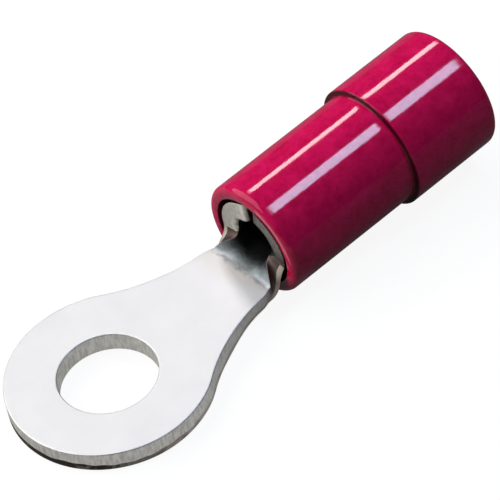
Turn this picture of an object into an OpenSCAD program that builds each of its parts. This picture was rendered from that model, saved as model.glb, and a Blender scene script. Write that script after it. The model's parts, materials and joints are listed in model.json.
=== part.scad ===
// Insulated ring terminal for a 0.5 to 1.5 mm2 wire on an M3.5 stud.
// A tinned copper strip is stamped into a ring tongue, and its other end is
// rolled into a wire barrel with an open butt seam. A stepped plastic sleeve
// grips the barrel and widens behind it to take the wire's insulation.
// Origin: centre of the stud hole on the tongue's seating face.
// +X runs from the ring to the wire entry, +Z along the stud.

/* [Ring tongue] */
// Outside diameter of the ring
ring_d = 7.6; // [6.8:0.1:9]
// Diameter of the stud hole
stud_hole_d = 3.7; // [3.2:0.1:4.3]
// Thickness of the stamped strip
strip_t = 0.8; // [0.7:0.05:0.9]
// Width of the neck where it starts to curl up
neck_w = 3.05; // [2.6:0.05:3.4]
// Distance from the stud hole's centre to where the neck starts to curl
neck_end_x = 6.6; // [6:0.1:8]
// Edge rolled over by the punch, on the top face
edge_roll = 0.1; // [0.04:0.02:0.16]
// Height of the torn lower part of the cut edge
torn_h = 0.28; // [0.1:0.02:0.36]
// How far the torn part leans in under the strip
torn_lean = 0.04; // [0.01:0.01:0.08]

/* [Wire barrel] */
// Diameter of the barrel's bore
barrel_bore_d = 1.7; // [1.5:0.05:1.9]
// Length of the rolled barrel
barrel_len = 5.6; // [4.8:0.1:5.8]
// Length over which the neck curls from flat into the barrel's curve
curl_len = 0.7; // [0.6:0.05:1]
// Radius of the punched corners between the neck and the barrel
corner_r = 0.3; // [0.1:0.05:0.5]
// Width of the butt seam along the top, at mid thickness
seam_gap = 0.3; // [0.1:0.05:0.5]
// Number of grooves round the bore that grip the strands
groove_count = 3; // [2:1:4]
// Width of a groove at the bore
groove_w = 0.4; // [0.3:0.05:0.6]
// Depth of a groove
groove_depth = 0.12; // [0.05:0.01:0.2]
// Size of the bell mouth at the wire end of the bore
bell_mouth = 0.3; // [0.1:0.05:0.4]
// Edge break on the barrel's other rims
rim_break = 0.06; // [0.03:0.01:0.1]

/* [Insulating sleeve] */
// Wall of the sleeve over the barrel
sleeve_wall = 0.65; // [0.55:0.05:0.9]
// Length of the narrow part, from the front end to the step
grip_len = 6; // [5.8:0.1:8]
// Length of the wide part behind the step
entry_len = 4.05; // [3:0.05:6]
// Bore of the wide part, over the wire's insulation
entry_bore_d = 3.95; // [3.6:0.05:4.3]
// Wall of the wide part
entry_wall = 0.55; // [0.45:0.05:0.8]
// How far the barrel's front end stands back in the sleeve
barrel_set_back = 0.05; // [0:0.05:0.1]
// Room between barrel and sleeve where the sleeve grips
grip_clearance = 0.01; // [0.005:0.005:0.03]
// Extra radius of the relief round the barrel at the front end
mouth_relief = 0.16; // [0.05:0.01:0.2]
// Length of that relief
mouth_relief_len = 0.7; // [0.3:0.1:1.2]
// Rounding of the front end's outer edge
front_round = 0.24; // [0.1:0.02:0.4]
// Rounding of the step's outer edge
step_round = 0.12; // [0.05:0.01:0.14]
// Rounding of the wire end's outer edge
entry_round = 0.2; // [0.1:0.02:0.35]

/* [Hidden] */

ring_r = ring_d / 2;
neck_half = neck_w / 2;
// The circle that touches the ring and, at neck_end_x, the neck's straight side
neck_arc_r = (pow(neck_end_x, 2) + pow(neck_half, 2) - pow(ring_r, 2)) / (2 * (ring_r - neck_half));
neck_arc_y = neck_half + neck_arc_r;
// Where that circle touches the ring
touch = [neck_end_x, neck_arc_y] * ring_r / (ring_r + neck_arc_r);
// The circle bites this far into the ring, so that the two curves cross
arc_bite = 0.002;
// Corner of the neck's web inside the ring, clear of both curves
web_corner = touch - [0.2, 0.3];

bore_r = barrel_bore_d / 2;
barrel_r = bore_r + strip_t;
mid_r = bore_r + strip_t / 2;
barrel_x = neck_end_x + curl_len;
barrel_end_x = barrel_x + barrel_len;

sleeve_x = barrel_x - barrel_set_back;
step_x = sleeve_x + grip_len;
sleeve_end_x = step_x + entry_len;
grip_r = barrel_r + grip_clearance;
sleeve_r = barrel_r + sleeve_wall;
entry_bore_r = entry_bore_d / 2;
entry_r = entry_bore_r + entry_wall;

// The strip's cut edge as [inset, height], from the seating face up
CUT_EDGE = [
    [torn_lean, 0],
    [0, torn_h],
    [0, strip_t - edge_roll],
    [edge_roll * 0.3, strip_t - edge_roll * 0.3],
    [edge_roll, strip_t]
];

// Points of an arc of radius r round the point c, from angle a0 to angle a1
function arc(c, r, a0, a1, steps) =
    [for (i = [0:steps]) let (a = a0 + (a1 - a0) * i / steps) c + r * [cos(a), sin(a)]];
function flip(points) = [for (i = [len(points) - 1:-1:0]) points[i]];

// A body of revolution along +X whose profile is given as [x, radius]
module turned(profile, sides) {
    rotate([0, 90, 0])
        rotate_extrude($fn = sides)
            polygon([for (p = profile) [p[1], p[0]]]);
}

// ---- ring tongue ----

// Disc with the cut edge outside, or with the cut edge of the stock that it cuts
module cut_disc(r, side, sides) {
    rotate_extrude($fn = sides)
        polygon(concat([[0, 0]], [for (p = CUT_EDGE) [r + side * p[0], p[1]]], [[0, strip_t]]));
}

module neck_web() {
    upper = [[neck_end_x, touch[1]], touch, web_corner, [0, web_corner[1]]];
    difference() {
        linear_extrude(strip_t)
            polygon(concat(upper, [for (p = flip(upper)) [p[0], -p[1]]]));
        for (side = [-1, 1])
            translate([neck_end_x, side * neck_arc_y, 0])
                cut_disc(neck_arc_r + arc_bite, 1, 180);
    }
}

module tongue() {
    difference() {
        union() {
            cut_disc(ring_r, -1, 120);
            neck_web();
        }
        translate([0, 0, -1])
            cylinder(d = stud_hole_d, h = strip_t + 2, $fn = 96);
        translate([0, 0, strip_t - edge_roll])
            cylinder(r1 = stud_hole_d / 2, r2 = stud_hole_d / 2 + 2 * edge_roll, h = 2 * edge_roll, $fn = 96);
    }
}

// ---- curl from the flat neck to the barrel's round wall ----

CURL_STEPS = 12;
FACE_STEPS = 16;
// The curl thins by a hair towards the barrel and ends inside the barrel's wall
curl_inset = 0.02;
curl_root = 0.3;

// Half width of the neck at x: straight, then a punched corner that opens to the barrel
function half_width(x) =
    let (u = min(corner_r, max(0, x - (barrel_x - corner_r))))
    neck_half + corner_r - sqrt(max(0, pow(corner_r, 2) - pow(u, 2)));
// Curvature at x: starts with a crease and runs smoothly into the barrel's curve
function curvature(x) =
    let (s = max(0, min(1, (x - neck_end_x) / curl_len)))
    max(0.001, sin(90 * s)) / mid_r;
// A point at distance d from the middle line and height h in the strip, once it is curled
function curled(d, h, k) =
    let (a = d * k * 180 / PI, r = 1 / k)
    [(r + strip_t / 2 - h) * sin(a), strip_t / 2 + r - (r + strip_t / 2 - h) * cos(a)];
// Outline of the strip's section with half width w, drawn in by the distance inset
function strip_section(w, inset) = concat(
    [for (i = [0:FACE_STEPS]) [(w - torn_lean - inset) * (2 * i / FACE_STEPS - 1), inset]],
    [for (j = [1:len(CUT_EDGE) - 2]) [w - CUT_EDGE[j][0] - inset, CUT_EDGE[j][1]]],
    [for (i = [0:FACE_STEPS]) [(w - edge_roll - inset) * (1 - 2 * i / FACE_STEPS), strip_t - inset]],
    [for (j = [len(CUT_EDGE) - 2:-1:1]) [inset + CUT_EDGE[j][0] - w, CUT_EDGE[j][1]]]
);
function curl_ring(x, inset) =
    [for (p = strip_section(half_width(x), inset)) let (q = curled(p[0], p[1], curvature(x))) [x, q[0], q[1]]];

// Faces that close the end of the curl whose section starts at the point with number k
function end_faces(k) =
    let (right = FACE_STEPS, top = right + len(CUT_EDGE) - 1, left = top + FACE_STEPS)
    concat(
        [for (i = [0:FACE_STEPS - 1]) [k + i, k + i + 1, k + left - i - 1, k + left - i]],
        [[for (j = [right:top]) k + j]],
        [concat([for (j = [left:left + len(CUT_EDGE) - 2]) k + j], [k])]
    );

module loft(rings) {
    n = len(rings[0]);
    last = len(rings) - 1;
    polyhedron(
        points = [for (ring = rings) each ring],
        faces = concat(
            end_faces(0),
            [for (i = [0:last - 1], j = [0:n - 1])
                let (a = i * n + j, b = i * n + (j + 1) % n) each [[a, a + n, b + n], [a, b + n, b]]],
            [for (f = end_faces(last * n)) flip(f)]
        )
    );
}

module curl() {
    loft(concat(
        [for (i = [0:CURL_STEPS]) let (s = i / CURL_STEPS) curl_ring(neck_end_x + curl_len * s, curl_inset * s)],
        [curl_ring(barrel_x + curl_root, curl_inset)]
    ));
}

// ---- wire barrel ----

groove_pitch = (barrel_len - bell_mouth) / (groove_count + 1);

// Cuts a groove with 45 degree flanks round the bore, with its middle at x
module groove(x) {
    floor_half = groove_w / 2 - groove_depth;
    turned([
        [x - bore_r - floor_half - groove_depth, 0], [x - floor_half, bore_r + groove_depth],
        [x + floor_half, bore_r + groove_depth], [x + bore_r + floor_half + groove_depth, 0]
    ], 96);
}

module barrel() {
    // The seam's faces are radial, as the edges of a rolled strip are
    seam_slope = seam_gap / 2 / mid_r;
    seam_top = 2 * barrel_r;
    translate([0, 0, barrel_r])
        difference() {
            turned([
                [barrel_x, 0], [barrel_x, barrel_r - rim_break], [barrel_x + rim_break, barrel_r],
                [barrel_end_x - rim_break, barrel_r], [barrel_end_x, barrel_r - rim_break], [barrel_end_x, 0]
            ], 120);
            turned([
                [barrel_x - 1, 0], [barrel_x - 1, bore_r], [barrel_end_x - bell_mouth, bore_r],
                [barrel_end_x + 1, bore_r + bell_mouth + 1], [barrel_end_x + 1, 0]
            ], 96);
            for (i = [1:groove_count])
                groove(barrel_x + i * groove_pitch);
            translate([barrel_x - 1, 0, 0])
                rotate([90, 0, 90])
                    linear_extrude(barrel_len + 2)
                        polygon([[0, 0], [seam_slope * seam_top, seam_top], [-seam_slope * seam_top, seam_top]]);
        }
}

module terminal() {
    color([0.93, 0.93, 0.94]) {
        tongue();
        curl();
        barrel();
    }
}

// ---- insulating sleeve ----

module sleeve() {
    widening = entry_bore_r - grip_r;
    outside = concat(
        arc([sleeve_x + front_round, sleeve_r - front_round], front_round, 180, 90, 8),
        [[step_x, sleeve_r]],
        arc([step_x + step_round, entry_r - step_round], step_round, 180, 90, 5),
        arc([sleeve_end_x - entry_round, entry_r - entry_round], entry_round, 90, 0, 8)
    );
    inside = [
        [sleeve_end_x, entry_bore_r],
        [step_x + widening, entry_bore_r],
        [step_x, grip_r],
        [sleeve_x + mouth_relief_len + mouth_relief, grip_r],
        [sleeve_x + mouth_relief_len, grip_r + mouth_relief],
        [sleeve_x, grip_r + mouth_relief]
    ];
    color([0.78, 0, 0.3])
        translate([0, 0, barrel_r])
            turned(concat(outside, inside), 120);
}

terminal();
sleeve();
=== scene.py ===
"""Insulated ring terminal: a stamped and rolled tin-plated strip in a glossy crimson sleeve.

The strip is laid out flat as a blank, x along the terminal and d across it, and then bent:
flat over the tongue, curling up along the neck, and rolled round the barrel's axis behind it.
"""
import json
import math

import bpy
import numpy as np
from mathutils import Matrix, Vector
from mathutils.geometry import delaunay_2d_cdt


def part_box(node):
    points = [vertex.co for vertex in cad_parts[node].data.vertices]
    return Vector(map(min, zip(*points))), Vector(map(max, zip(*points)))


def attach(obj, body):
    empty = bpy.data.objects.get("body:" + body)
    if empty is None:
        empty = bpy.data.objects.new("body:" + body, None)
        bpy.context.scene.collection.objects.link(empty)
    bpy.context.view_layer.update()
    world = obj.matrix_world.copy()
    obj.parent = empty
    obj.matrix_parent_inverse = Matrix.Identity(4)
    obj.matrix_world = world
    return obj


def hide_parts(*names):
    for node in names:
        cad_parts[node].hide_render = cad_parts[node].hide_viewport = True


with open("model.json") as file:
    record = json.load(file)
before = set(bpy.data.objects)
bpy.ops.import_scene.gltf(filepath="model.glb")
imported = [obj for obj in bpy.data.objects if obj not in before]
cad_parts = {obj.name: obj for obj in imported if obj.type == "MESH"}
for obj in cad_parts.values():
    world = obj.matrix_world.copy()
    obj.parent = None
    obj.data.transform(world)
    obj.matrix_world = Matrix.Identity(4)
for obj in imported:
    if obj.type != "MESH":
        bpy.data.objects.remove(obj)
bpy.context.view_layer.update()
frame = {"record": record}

# ---- sizes, in metres: from the frame where it gives them ----
MM = 0.001
mounts = {m["name"]: m for m in frame["record"]["mounts"]}
_, terminal_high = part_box("terminal")
sleeve_low, sleeve_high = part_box("sleeve")

ring_r = terminal_high.y
stud_r = mounts["stud_hole"]["dims"]["r_mm"] * MM
bore_r = mounts["wire_barrel"]["dims"]["r_mm"] * MM
axis_z = mounts["wire_barrel"]["pos_m"][2]
entry_bore_r = mounts["wire_entry"]["dims"]["r_mm"] * MM
strip_t = axis_z - bore_r
mid_r = bore_r + strip_t / 2
barrel_r = axis_z

sleeve_x, sleeve_end_x = sleeve_low.x, sleeve_high.x
entry_r = sleeve_high.y
barrel_set_back = 0.05 * MM
barrel_x = sleeve_x + barrel_set_back
barrel_end_x = terminal_high.x
curl_len = 0.7 * MM
neck_end_x = barrel_x - curl_len
neck_half = 1.525 * MM
corner_r = 0.3 * MM
seam_gap = 0.3 * MM
blank_corner_r = 0.2 * MM
barrel_half = math.pi * mid_r - seam_gap / 2

edge_roll = 0.05 * MM
flare_swell = 0.13 * MM
neck_lean = 0.16 * MM
torn_h = 0.29 * MM
burr_r = 0.02 * MM
rim_roll = 0.34 * MM
rim_torn_h = 0.15 * MM
bell_mouth = 0.3 * MM
groove_count = 3
groove_w = 0.4 * MM
groove_depth = 0.12 * MM

sleeve_wall = 0.65 * MM
grip_clearance = 0.01 * MM
grip_len = 6 * MM
mouth_relief = 0.16 * MM
mouth_relief_len = 0.7 * MM
front_round = 0.24 * MM
step_round = 0.06 * MM
entry_round = 0.2 * MM
soft_r = 0.05 * MM
mouth_depth = 1.2 * MM

# Where the swell of the outline and the lean of its edge rise and fall away, in millimetres along x
SWELL_RISE, SWELL_FALL = (0.5, 4.6), (6.1, 6.75)
LEAN_RISE, LEAN_FALL = (3.5, 6), (6.5, 6.9)
# Waves in the line of the tear: share of its height, and radians per millimetre along and across
TEAR_WAVES = ((0.08, 2.9, 4.3), (0.06, 7.1, -5.3))
# Share of its height that the tear loses behind the tip, where along x that starts and how far it
# takes, in millimetres
TEAR_THIN, THIN_FROM, THIN_OVER = 0.25, -3.3, 1.4
# Shares of the way from the neck to the seam on the +Y arm: where the drawing of its rim has faded
# out, and how long the fade is
DRAWN_END, DRAWN_FADE = 0.8, 0.35

ROLL_STEPS = 5
ROLL_ANGLE = math.radians(4)
SLEEVE_SIDES = 256


# ---- mesh helpers ----
def arc(cx, cy, r, a0, a1, steps):
    """Points of an arc, with angles in degrees."""
    angles = np.radians(np.linspace(a0, a1, steps + 1))
    return np.stack([cx + r * np.cos(angles), cy + r * np.sin(angles)], axis=1)


def line(p, q, step):
    """Points from p to q about step apart, both ends included."""
    p, q = np.array(p, float), np.array(q, float)
    count = max(1, round(float(np.linalg.norm(q - p)) / step))
    return p + (q - p) * np.linspace(0, 1, count + 1)[:, None]


def join(*pieces):
    """One polyline from pieces that share their end points."""
    points = [pieces[0]]
    for piece in pieces[1:]:
        points.append(piece[1:])
    return np.concatenate(points)


def new_piece(name, vertices, faces, materials, face_materials=None):
    """A smooth-shaded mesh object in the scene."""
    mesh = bpy.data.meshes.new(name)
    mesh.from_pydata([tuple(v) for v in vertices], [], [tuple(int(i) for i in f) for f in faces])
    for material in materials:
        mesh.materials.append(material)
    if face_materials is not None:
        mesh.polygons.foreach_set("material_index", np.array(face_materials, dtype=np.int32))
    mesh.polygons.foreach_set("use_smooth", np.ones(len(mesh.polygons), dtype=bool))
    mesh.update()
    piece = bpy.data.objects.new(name, mesh)
    bpy.context.scene.collection.objects.link(piece)
    return piece


# ---- the blank ----
def eased(x, start, end):
    """0 before start, 1 after end and a smooth rise between them, with all three in millimetres."""
    t = np.clip((x / MM - start) / (end - start), 0, 1)
    return t * t * (3 - 2 * t)


def half_outline():
    """One half of the blank's outline, from the ring's tip to the middle of the wire end."""
    arc_r = (neck_end_x**2 + neck_half**2 - ring_r**2) / (2 * (ring_r - neck_half))
    arc_y = neck_half + arc_r
    touch = math.degrees(math.atan2(arc_y, neck_end_x))
    corner_x = barrel_x - corner_r
    c = blank_corner_r
    roll_step = mid_r * ROLL_ANGLE
    outline = join(
        arc(0, 0, ring_r, 180, touch, 90),
        arc(neck_end_x, arc_y, arc_r, 180 + touch, 270, 36),
        line((neck_end_x, neck_half), (corner_x, neck_half), 0.05 * MM),
        arc(corner_x, neck_half + corner_r, corner_r, -90, 0, 8),
        line((barrel_x, neck_half + corner_r), (barrel_x, barrel_half - c), roll_step),
        arc(barrel_x + c, barrel_half - c, c, 180, 90, 5),
        line((barrel_x + c, barrel_half), (barrel_end_x - c, barrel_half), 0.1 * MM),
        arc(barrel_end_x - c, barrel_half - c, c, 90, 0, 5),
        line((barrel_end_x, barrel_half - c), (barrel_end_x, 0), roll_step),
    )
    # the flare and the neck are a little fuller than arcs and straight lines
    x = outline[:, 0]
    swell = flare_swell * eased(x, *SWELL_RISE) * (1 - eased(x, *SWELL_FALL))
    return outline + np.stack([np.zeros(len(outline)), swell], axis=1)


def inward(loop):
    """Unit normals that point into a clockwise loop."""
    ahead = np.roll(loop, -1, axis=0) - loop
    ahead /= np.linalg.norm(ahead, axis=1)[:, None]
    both = ahead + np.roll(ahead, 1, axis=0)
    both /= np.linalg.norm(both, axis=1)[:, None]
    return np.stack([both[:, 1], -both[:, 0]], axis=1)


def cut_edge(rim, drawn, point):
    """The sheared edge as (inset, height) from the seating face up: burr, tear, land, rolled edge.

    rim goes from 0 on the tongue to 1 on the barrel's front end, and drawn is 1 where the bend drew
    that edge inwards most. point is the place on the outline: the line of the tear wavers along it
    and is highest at the tip, and the edge leans inwards at its foot along the neck.
    """
    x, d = point / MM
    waver = sum(share * math.sin(along * x + across * d) for share, along, across in TEAR_WAVES)
    thin = TEAR_THIN * min(1.0, max(0.0, (x - THIN_FROM) / THIN_OVER))
    tear = (torn_h + (rim_torn_h - torn_h) * rim) * (1 + waver - thin)
    lean = neck_lean * eased(point[0], *LEAN_RISE) * (1 - eased(point[0], *LEAN_FALL))
    roll = edge_roll + (rim_roll - edge_roll) * drawn
    points = [(burr_r, 0.0), (burr_r * 0.3, burr_r * 0.3), (0.0, burr_r)]
    points += [(0.0, tear), (0.0, (tear + strip_t - roll) / 2)]
    for a in np.radians(np.linspace(0, 90, ROLL_STEPS + 1)):
        points.append((roll * (1 - math.cos(a)), strip_t - roll * (1 - math.sin(a))))
    return [(inset + lean * (1 - height / strip_t), height) for inset, height in points]


def rim_share(point):
    """How much a point of the outline belongs to the barrel's front end."""
    x, d = point
    if not neck_end_x < x < barrel_x + blank_corner_r / 2:
        return 0.0
    return min(1.0, max(0.0, (abs(d) - neck_half - corner_r / 2) / corner_r))


def drawn_share(point):
    """How much the bend drew the edge at a point of the outline: not next to the seam on the +Y arm."""
    past = (point[1] - neck_half) / (barrel_half - neck_half)
    return rim_share(point) * min(1.0, max(0.0, (DRAWN_END - past) / DRAWN_FADE))


def inside_points():
    """Points that divide the curled and rolled part of the blank finely enough to bend."""
    margin = rim_roll + 0.08 * MM
    columns = np.arange(neck_end_x - 0.1 * MM, barrel_end_x - margin, 0.09 * MM)
    step = mid_r * ROLL_ANGLE
    points = []
    for x in columns:
        reach = neck_half if x < barrel_x + margin else barrel_half
        rows = int((reach - margin) / step)
        points += [(x, j * step) for j in range(-rows, rows + 1)]
    return points


def strip_height(x):
    """Thickness left at x by the grooves and the bell mouth in the bore."""
    pitch = (barrel_end_x - barrel_x - bell_mouth) / (groove_count + 1)
    cut = np.maximum(0, bell_mouth - (barrel_end_x - x))
    for i in range(1, groove_count + 1):
        off = np.abs(x - (barrel_x + i * pitch))
        cut = np.maximum(cut, np.clip(groove_w / 2 - off, 0, groove_depth))
    return strip_t - cut


def bend(points):
    """Blank (x, d, h) to the terminal's (x, y, z): flat up to the neck's end, then curling up."""
    x, d, h = points.T
    s = np.clip((x - neck_end_x) / curl_len, 0, 1)
    nearly_flat = 1e-4
    curve = np.maximum(np.sin(s * math.pi / 2), nearly_flat) / mid_r
    h = h * strip_height(x) / strip_t
    r = 1 / curve
    a = d * curve
    reach = r + strip_t / 2 - h
    return np.stack([x, reach * np.sin(a), strip_t / 2 + r - reach * np.cos(a)], axis=1)


def fill(outer, hole, inner):
    """Triangles between the outer loop and the hole, through the inner points; all given as 2D points."""
    points = [Vector(p / MM) for p in np.concatenate([outer, hole, np.array(inner).reshape(-1, 2)])]
    a, b = len(outer), len(hole)
    edges = [(i, (i + 1) % a) for i in range(a)]
    edges += [(a + i, a + (i + 1) % b) for i in range(b)]
    inside_only, tolerance = 1, 1e-9
    found = delaunay_2d_cdt(points, edges, [], inside_only, tolerance)
    vertices, faces, originals = found[0], found[2], found[3]
    if len(vertices) != len(points):
        raise ValueError(f"the blank's points meet: {len(points)} given, {len(vertices)} left")
    back = [o[0] for o in originals]
    faces = [[back[i] for i in face] for face in faces]
    return [face for face in faces if not all(a <= i < a + b for i in face)]


# Slots of the terminal's materials
PLATE, SHEARED, TORN, RIM, BORE = range(5)
# Along the edge's profile: the ring of vertices at the top of the tear, and how many from the last
# ring the plate's finish reaches down over the roll
TEAR_TOP = 4
PLATE_RINGS = 4
# Share of the rim from which faces count as the barrel's front end
ON_RIM = 0.3


def terminal_mesh(materials):
    """The terminal's piece: the blank's edges and its two faces as one mesh, and then bent."""
    upper = half_outline()
    outer = np.concatenate([upper, upper[-2:0:-1] * [1, -1]])
    outer_in = inward(outer)
    hole = arc(0, 0, stud_r, 0, 360, 144)[:-1]
    hole_out = hole / stud_r
    support = 0.04 * MM
    vertices, faces, kinds = [], [], []

    def loops(base, normals, profiles, rim, tear):
        """Rings of quads up the edge's profile, with a support ring on the faces below and above it.

        Returns the first vertex of the lowest and of the highest ring.
        """
        start = len(vertices)
        n = len(base)
        rows = [[(p[0][0] + support, 0.0), *p, (p[-1][0] + support, strip_t)] for p in profiles]
        rings = len(rows[0])
        roll_start = rings - 2 - ROLL_STEPS
        for k in range(rings):
            for p, normal, row in zip(base, normals, rows):
                inset, height = row[k]
                q = p + normal * inset
                vertices.append((q[0], q[1], height))
        for k in range(rings - 1):
            for i in range(n):
                a, b = start + k * n + i, start + k * n + (i + 1) % n
                faces.append([a + n, b + n, b, a])
                # On the barrel's front end, the roll of the -Y arm and the top of the roll on both arms
                # take the bore's painted shade.
                on_rim = rim[i] > ON_RIM
                if 0 < k < TEAR_TOP:
                    kinds.append(RIM if on_rim else tear)
                elif TEAR_TOP <= k < rings - PLATE_RINGS:
                    in_shade = base[i][1] < 0 and k >= roll_start
                    kinds.append((BORE if in_shade else RIM) if on_rim else SHEARED)
                else:
                    kinds.append(BORE if on_rim and k > TEAR_TOP else PLATE)
        return start, start + (rings - 1) * n

    outer_rim = [rim_share(p) for p in outer]
    outer_edges = [cut_edge(r, drawn_share(p), p) for r, p in zip(outer_rim, outer)]
    hole_edges = [cut_edge(0, 0, p) for p in hole]
    outer_low, outer_high = loops(outer, outer_in, outer_edges, outer_rim, TORN)
    hole_low, hole_high = loops(hole, hole_out, hole_edges, [0] * len(hole), SHEARED)
    inner = inside_points()
    bore_x = barrel_x - 0.02 * MM
    for low, o, h, height in ((True, outer_low, hole_low, 0.0), (False, outer_high, hole_high, strip_t)):
        rim = np.array([v[:2] for v in vertices[o:o + len(outer)]])
        eye = np.array([v[:2] for v in vertices[h:h + len(hole)]])
        start = len(vertices)
        vertices += [(p[0], p[1], height) for p in inner]
        index = [*range(o, o + len(outer)), *range(h, h + len(hole)), *range(start, len(vertices))]
        for face in fill(rim, eye, inner):
            face = [index[i] for i in face]
            faces.append(face[::-1] if low else face)
            # The bore's faces take its painted shade.
            in_bore = not low and min(vertices[i][0] for i in face) > bore_x
            kinds.append(BORE if in_bore else PLATE)
    return new_piece("ring_tongue_and_barrel", bend(np.array(vertices)), faces, materials, kinds)


# ---- the sleeve ----
def lathe(name, profile, sides, materials, kinds):
    """A closed ring round the barrel's axis from a closed profile of (x, radius)."""
    n = len(profile)
    vertices = []
    for i in range(sides):
        a = 2 * math.pi * i / sides
        vertices += [(x, r * math.cos(a), axis_z + r * math.sin(a)) for x, r in profile]
    faces = []
    for i in range(sides):
        for j in range(n):
            a, b = i * n + j, i * n + (j + 1) % n
            c, d = ((i + 1) % sides) * n + (j + 1) % n, ((i + 1) % sides) * n + j
            faces.append((a, b, c, d))
    return new_piece(name, vertices, faces, materials, kinds * sides)


def sleeve_profile():
    """The sleeve's profile as (x, radius), from its front end along the outside and back inside."""
    grip_r = barrel_r + grip_clearance
    narrow_r = barrel_r + sleeve_wall
    step_x = sleeve_x + grip_len
    mouth_r = grip_r + mouth_relief
    widening = entry_bore_r - grip_r
    relief_x = sleeve_x + mouth_relief_len
    rear_x = sleeve_end_x - entry_round
    return join(
        arc(sleeve_x + front_round, narrow_r - front_round, front_round, 180, 90, 14),
        line((sleeve_x + front_round, narrow_r), (step_x - soft_r, narrow_r), 0.4 * MM),
        arc(step_x - soft_r, narrow_r + soft_r, soft_r, -90, 0, 4),
        arc(step_x + step_round, entry_r - step_round, step_round, 180, 90, 8),
        line((step_x + step_round, entry_r), (rear_x, entry_r), 0.4 * MM),
        arc(rear_x, entry_r - entry_round, entry_round, 90, 0, 12),
        arc(sleeve_end_x - soft_r, entry_bore_r + soft_r, soft_r, 0, -90, 4),
        line((sleeve_end_x - soft_r, entry_bore_r), (step_x + widening, entry_bore_r), 0.4 * MM),
        line((step_x + widening, entry_bore_r), (step_x, grip_r), 0.1 * MM),
        line((step_x, grip_r), (relief_x + mouth_relief, grip_r), 0.4 * MM),
        line((relief_x + mouth_relief, grip_r), (relief_x, mouth_r), 0.1 * MM),
        line((relief_x, mouth_r), (sleeve_x + soft_r, mouth_r), 0.1 * MM),
        arc(sleeve_x + soft_r, mouth_r + soft_r, soft_r, 270, 180, 4),
    )


# ---- materials ----
# The middle of a noise's range, which ranged and tinted spread out
NOISE_LOW, NOISE_HIGH = 0.3, 0.7
# The bore's painted shade, and how bright the plate is in front of it
BORE_SHADE = (0.035, 0.037, 0.039)
PLATE_BRIGHT = 0.86


def node_material(name, metallic=0.0):
    """A new material, with its nodes, its links and its shader."""
    material = bpy.data.materials.new(name)
    material.use_nodes = True
    tree = material.node_tree
    shader = tree.nodes["Principled BSDF"]
    shader.inputs["Metallic"].default_value = metallic
    return material, tree.nodes, tree.links, shader


def feed(links, socket, value):
    """Links another node's output to the socket, or sets the socket to a plain value."""
    if isinstance(value, bpy.types.NodeSocket):
        links.new(value, socket)
    else:
        socket.default_value = value


def reckoned(nodes, links, operation, *values):
    """The result of a maths operation on outputs and plain numbers."""
    node = nodes.new("ShaderNodeMath")
    node.operation = operation
    for socket, value in zip(node.inputs, values):
        feed(links, socket, value)
    return node.outputs[0]


def coordinate(nodes, links, axis):
    """The shaded point's X, Y or Z on the object, in metres."""
    place = nodes.new("ShaderNodeTexCoord")
    split = nodes.new("ShaderNodeSeparateXYZ")
    links.new(place.outputs["Object"], split.inputs["Vector"])
    return split.outputs[axis]


def spread(nodes, links, value, start, end, low=0.0, high=1.0, kind="LINEAR"):
    """Goes from low to high while the value goes from start to end."""
    node = nodes.new("ShaderNodeMapRange")
    node.interpolation_type = kind
    node.inputs["From Min"].default_value = start
    node.inputs["From Max"].default_value = end
    node.inputs["To Min"].default_value = low
    node.inputs["To Max"].default_value = high
    links.new(value, node.inputs["Value"])
    return node.outputs["Result"]


def ramped(nodes, links, value, stops):
    """A colour along the value, from pairs of a position and a colour in rising order."""
    node = nodes.new("ShaderNodeValToRGB")
    elements = node.color_ramp.elements
    for i, (position, colour) in enumerate((stops[0], stops[-1])):
        elements[i].position = position
        elements[i].color = (*colour, 1)
    for position, colour in stops[1:-1]:
        elements.new(position).color = (*colour, 1)
    links.new(value, node.inputs["Fac"])
    return node.outputs["Color"]


def mixed(nodes, links, share, first, second, blend="MIX"):
    """Two colours mixed, with the second one's share; each is an output or a plain value."""
    node = nodes.new("ShaderNodeMix")
    node.data_type = "RGBA"
    node.blend_type = blend
    feed(links, node.inputs["Factor"], share)
    feed(links, node.inputs["A"], first)
    feed(links, node.inputs["B"], second)
    return node.outputs["Result"]


def noise(nodes, links, per_mm, detail, stretch=(1, 1, 1), fine=0.5):
    """Noise fixed to the object, with about per_mm lumps to the millimetre."""
    place = nodes.new("ShaderNodeTexCoord")
    mapping = nodes.new("ShaderNodeMapping")
    mapping.inputs["Scale"].default_value = stretch
    texture = nodes.new("ShaderNodeTexNoise")
    texture.inputs["Scale"].default_value = per_mm / MM
    texture.inputs["Detail"].default_value = detail
    texture.inputs["Roughness"].default_value = fine
    links.new(place.outputs["Object"], mapping.inputs["Vector"])
    links.new(mapping.outputs["Vector"], texture.inputs["Vector"])
    return texture.outputs["Fac"]


def ranged(nodes, links, value, low, high):
    """The middle of the noise's range spread from low to high."""
    return spread(nodes, links, value, NOISE_LOW, NOISE_HIGH, low, high)


def tinted(nodes, links, value, low, high):
    """A colour from low to high along the noise."""
    return ramped(nodes, links, value, ((NOISE_LOW, low), (NOISE_HIGH, high)))


def shifted(nodes, links, value, start_x, end_x, low, high):
    """The noise plus an amount that goes from low to high along the terminal."""
    along = coordinate(nodes, links, "X")
    amount = spread(nodes, links, along, start_x, end_x, low, high)
    return reckoned(nodes, links, "ADD", value, amount)


def bumped(nodes, links, shader, heights):
    """Adds bumps from pairs of a height and its depth in metres."""
    before = None
    for height, depth in heights:
        bump = nodes.new("ShaderNodeBump")
        bump.inputs["Strength"].default_value = 1.0
        bump.inputs["Distance"].default_value = depth
        links.new(height, bump.inputs["Height"])
        if before is not None:
            links.new(before, bump.inputs["Normal"])
        before = bump.outputs["Normal"]
    links.new(before, shader.inputs["Normal"])


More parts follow.
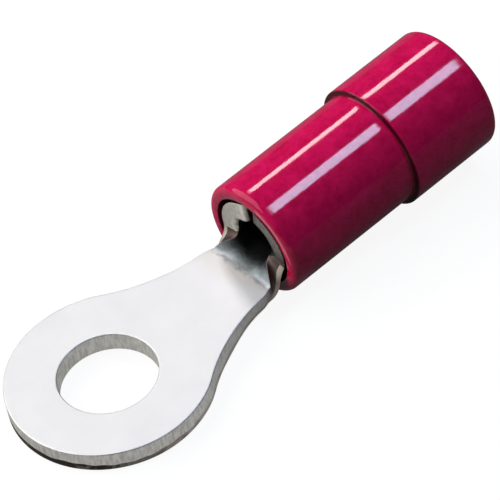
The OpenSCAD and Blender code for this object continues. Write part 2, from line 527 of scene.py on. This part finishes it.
def shaded_to_mouth(nodes, links, bright, uneven):
    """The plate's colour, with painted shade and a blue-grey painted reflection between the bend and the
    mouth.
    """
    along = coordinate(nodes, links, "X")
    wander = reckoned(nodes, links, "MULTIPLY_ADD", uneven, 0.6 * MM, along)
    reach = spread(nodes, links, wander, neck_end_x + 0.05 * MM, barrel_x + 0.2 * MM)
    mouth_shade = ramped(nodes, links, reach, (
        (0, (1, 1, 1)),
        (0.29, (0.46, 0.5, 0.53)),
        (0.53, (0.27, 0.31, 0.32)),
        (0.76, (0.14, 0.155, 0.165)),
        (1, tuple(c / PLATE_BRIGHT for c in BORE_SHADE)),
    ))
    return mixed(nodes, links, 1, bright, mouth_shade, "MULTIPLY")


def step_crease_shade(nodes, links, body):
    """The sleeve's colour, with painted shade in the crease at the foot of the step."""
    off = reckoned(nodes, links, "SUBTRACT", coordinate(nodes, links, "X"), sleeve_x + grip_len)
    aside = reckoned(nodes, links, "ABSOLUTE", off)
    reach = spread(nodes, links, aside, 0.06 * MM, 0.0, kind="SMOOTHSTEP")
    return mixed(nodes, links, reach, body, (0.08, 0.002, 0.012, 1))


def tin_plate():
    """Matt tin plating: a fine grain, faint rolling marks and cloudy patches, with painted shade towards
    the barrel's mouth.
    """
    material, nodes, links, shader = node_material("tin_plate", 1.0)
    clouds = noise(nodes, links, 0.6, 3)
    grain = noise(nodes, links, 30, 3)
    marks = noise(nodes, links, 1, 4, (1.5, 40, 40))
    shade_wander = noise(nodes, links, 3, 4, (1.4, 0.8, 1), fine=0.7)
    bright = tinted(nodes, links, clouds, (0.84, 0.84, 0.845), (0.88, 0.88, 0.88))
    # Painted shade and a blue-grey painted reflection darken the plate between the bend and the mouth; the
    # noise makes its edge wander.
    links.new(shaded_to_mouth(nodes, links, bright, shade_wander), shader.inputs["Base Color"])
    links.new(ranged(nodes, links, marks, 0.51, 0.59), shader.inputs["Roughness"])
    bumped(nodes, links, shader, ((grain, 0.0008 * MM), (marks, 0.001 * MM), (clouds, 0.004 * MM)))
    return material


def sheared_edge():
    """The burnished part of a punched edge, with drag lines down it; painted shade near the bend."""
    material, nodes, links, shader = node_material("sheared_edge", 1.0)
    drag = noise(nodes, links, 1, 3, (9, 9, 2.5), fine=0.7)
    grain = noise(nodes, links, 25, 2)
    paler = shifted(nodes, links, drag, 0, 4 * MM, 0, 0.15)
    # Painted shade on the edge near the bend and the barrel's mouth.
    bend_shade = shifted(nodes, links, paler, 6.25 * MM, 6.8 * MM, 0, -0.8)
    colour = ramped(nodes, links, bend_shade, (
        (0, (0.14, 0.1, 0.09)),
        (0.3, (0.56, 0.545, 0.5)),
        (0.7, (0.96, 0.94, 0.88)),
    ))
    links.new(colour, shader.inputs["Base Color"])
    links.new(ranged(nodes, links, grain, 0.38, 0.5), shader.inputs["Roughness"])
    bumped(nodes, links, shader, ((drag, 0.006 * MM), (grain, 0.002 * MM)))
    return material


def torn_edge():
    """The rough, duller part of a punched edge where the strip tore off, with painted shade darkest at the
    ring's tip and paler away from it.
    """
    material, nodes, links, shader = node_material("torn_edge", 1.0)
    tears = noise(nodes, links, 1.6, 5, fine=0.7)
    # Painted shade along x: darkest at the ring's tip, where it meets the floor.
    tip_shade = shifted(nodes, links, tears, -ring_r, 1.5 * MM, -0.26, 0.22)
    tint = tinted(nodes, links, tip_shade, (0.045, 0.033, 0.026), (0.72, 0.65, 0.58))
    links.new(tint, shader.inputs["Base Color"])
    links.new(ranged(nodes, links, tears, 0.55, 0.75), shader.inputs["Roughness"])
    bumped(nodes, links, shader, ((tears, 0.03 * MM),))
    return material


def drawn_rim():
    """The barrel's front end, drawn smooth by the bend: pale on the +Y arm, and painted shade on the -Y
    arm.
    """
    material, nodes, links, shader = node_material("drawn_rim", 1.0)
    drag = noise(nodes, links, 6, 3)
    pale = tinted(nodes, links, drag, (0.76, 0.73, 0.65), (0.92, 0.88, 0.79))
    dark = tinted(nodes, links, drag, (0.08, 0.07, 0.062), (0.22, 0.2, 0.18))
    across = coordinate(nodes, links, "Y")
    left = spread(nodes, links, across, -0.1 * MM, 0.4 * MM)
    # Painted shade on the -Y arm.
    links.new(mixed(nodes, links, left, dark, pale), shader.inputs["Base Color"])
    links.new(ranged(nodes, links, drag, 0.4, 0.55), shader.inputs["Roughness"])
    bumped(nodes, links, shader, ((drag, 0.008 * MM),))
    return material


def dull_bore():
    """The barrel's bore: rough metal, painted near-black as the shade deep inside it."""
    material, nodes, links, shader = node_material("dull_bore", 1.0)
    bore_mottle = noise(nodes, links, 3, 4)
    tint = tinted(nodes, links, bore_mottle, (0.022, 0.023, 0.024), BORE_SHADE)
    links.new(tint, shader.inputs["Base Color"])
    links.new(ranged(nodes, links, bore_mottle, 0.45, 0.6), shader.inputs["Roughness"])
    bumped(nodes, links, shader, ((bore_mottle, 0.01 * MM),))
    return material


def vinyl(name, low, high):
    """Glossy vinyl with a slightly mottled tone, a moulded skin and painted shade in the step's crease."""
    material, nodes, links, shader = node_material(name)
    mottle = noise(nodes, links, 1.5, 4, fine=0.85)
    skin = noise(nodes, links, 1.6, 2)
    body = tinted(nodes, links, mottle, low, high)
    # Painted shade in the crease at the step.
    links.new(step_crease_shade(nodes, links, body), shader.inputs["Base Color"])
    links.new(ranged(nodes, links, skin, 0.06, 0.09), shader.inputs["Roughness"])
    shader.inputs["Specular IOR Level"].default_value = 0.32
    bumped(nodes, links, shader, ((skin, 0.002 * MM),))
    return material


# ---- the two pieces ----
tongue_piece = terminal_mesh([tin_plate(), sheared_edge(), torn_edge(), drawn_rim(), dull_bore()])
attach(tongue_piece, "root")
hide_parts("terminal")

outside = vinyl("crimson_vinyl", (0.59, 0.001, 0.065), (0.9, 0.011, 0.13))
# The sleeve's wall inside its mouth is painted shade: a dark copy of the vinyl.
mouth_shade_vinyl = vinyl("shaded_vinyl", (0.1, 0.001, 0.012), (0.2, 0.003, 0.03))
profile = sleeve_profile()[:-1][::-1]
middles = (profile + np.roll(profile, -1, axis=0)) / 2
inner_r = barrel_r + grip_clearance + mouth_relief + 0.01 * MM
in_mouth_shade = (middles[:, 0] < sleeve_x + mouth_depth) & (middles[:, 1] < inner_r)
slots = [int(inside) for inside in in_mouth_shade]
sleeve_piece = lathe("crimson_sleeve", profile, SLEEVE_SIDES, [outside, mouth_shade_vinyl], slots)
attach(sleeve_piece, "root")
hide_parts("sleeve")


# ---- camera: the photograph's view ----
def stood(place, x, y, z):
    """The matrix of a thing at a place, with its own axes along x, y and z."""
    return Matrix.Translation(place) @ Matrix((x, y, z)).transposed().to_4x4()


view_azimuth, view_elevation, view_roll = (math.radians(a) for a in (-33.74, 46.47, -12.32))
view_distance = 39.48 * ring_r
view_aside = 1.335 * ring_r
view_up = 1.156 * ring_r
sensor_mm = 36
focal_mm = 303.3

back = Vector((math.sin(view_azimuth) * math.cos(view_elevation),
               -math.cos(view_azimuth) * math.cos(view_elevation),
               math.sin(view_elevation)))
right = Vector((math.cos(view_azimuth), math.sin(view_azimuth), 0))
up = back.cross(right)
right, up = (math.cos(view_roll) * right + math.sin(view_roll) * up,
             -math.sin(view_roll) * right + math.cos(view_roll) * up)
camera_data = bpy.data.cameras.new("camera")
camera_data.sensor_width = sensor_mm
camera_data.lens = focal_mm
camera_data.clip_start = 0.01
camera = bpy.data.objects.new("camera", camera_data)
bpy.context.scene.collection.objects.link(camera)
eye = Vector((0, 0, strip_t)) + back * view_distance + right * view_aside + up * view_up
camera.matrix_world = stood(eye, right, up, back)
bpy.context.scene.camera = camera

# ---- lights ----
scene = bpy.context.scene
scene.view_settings.view_transform = "Standard"


def panel(name, direction, width_deg, length_deg, strength, colour):
    """A lamp parallel to the sleeve, in a direction from its middle and as wide and long as given."""
    middle = Vector(((sleeve_x + sleeve_end_x) / 2, 0, axis_z))
    distance = 0.4
    data = bpy.data.lights.new(name, "AREA")
    data.shape = "RECTANGLE"
    data.size = 2 * distance * math.tan(math.radians(length_deg / 2))
    data.size_y = 2 * distance * math.tan(math.radians(width_deg / 2))
    data.energy = strength * data.size * data.size_y * math.pi
    data.color = colour
    light = bpy.data.objects.new(name, data)
    scene.collection.objects.link(light)
    z = Vector(direction).normalized()
    along = Vector((1, 0, 0))
    x = (along - along.dot(z) * z).normalized()
    light.matrix_world = stood(middle + z * distance, x, z.cross(x), z)


panel("soft_key", (-0.45, 0.55, 0.70), 66, 66, 2.1, (1, 0.985, 0.965))
panel("key_strip", (0.4175, 0.575, 0.703), 8, 8.5, 17.5, (1, 0.955, 0.95))
panel("sky_strip", (0.4175, -0.243, 0.875), 15, 8.5, 21.5, (0.54, 0.71, 0.98))

world = bpy.data.worlds.new("studio")
scene.world = world
world.use_nodes = True
world.node_tree.nodes["Background"].inputs["Color"].default_value = (1, 1, 1, 1)
world.node_tree.nodes["Background"].inputs["Strength"].default_value = 0.045

# ---- floor: it touches the ring's tip and the sleeve's front end ----
floor_mesh = bpy.data.meshes.new("floor")
tip = Vector((-ring_r, 0, 0))
foot_middle = Vector((sleeve_x + front_round, 0, axis_z - barrel_r - sleeve_wall + front_round))
gap = foot_middle - tip
pitch = math.atan2(gap.z, gap.x) - math.asin(front_round / gap.length)
along_floor = Vector((math.cos(pitch), 0, math.sin(pitch)))
side = 3.0
corners = [tip + along_floor * u + Vector((0, v, 0))
           for u, v in ((-side, -side), (side, -side), (side, side), (-side, side))]
floor_mesh.from_pydata([tuple(c) for c in corners], [], [(0, 1, 2, 3)])
floor = bpy.data.objects.new("floor", floor_mesh)
scene.collection.objects.link(floor)

# The camera sees white paper that still takes the object's shadow. Mirrors see it at part strength,
# and weaker along x as painted shade where it lies under the sleeve. It gives little light back to the
# object.
PAPER_WHITE = 0.915
MIRRORED_FRONT, MIRRORED_REAR = 0.4, 0.05
floor_material, nodes, links, shader = node_material("pale_floor")
shader.inputs["Base Color"].default_value = (0.14, 0.14, 0.14, 1)
shader.inputs["Roughness"].default_value = 1
shader.inputs["Specular IOR Level"].default_value = 0
path = nodes.new("ShaderNodeLightPath")
mirrored = reckoned(nodes, links, "ADD", path.outputs["Is Glossy Ray"], path.outputs["Is Transmission Ray"])
along = coordinate(nodes, links, "X")
fade = spread(nodes, links, along, 2 * MM, 9 * MM, MIRRORED_FRONT, MIRRORED_REAR)
glow = reckoned(nodes, links, "MULTIPLY_ADD", mirrored, fade, path.outputs["Is Camera Ray"])
paper = reckoned(nodes, links, "MULTIPLY", glow, PAPER_WHITE)
shader.inputs["Emission Color"].default_value = (1, 1, 1, 1)
links.new(paper, shader.inputs["Emission Strength"])
floor_mesh.materials.append(floor_material)
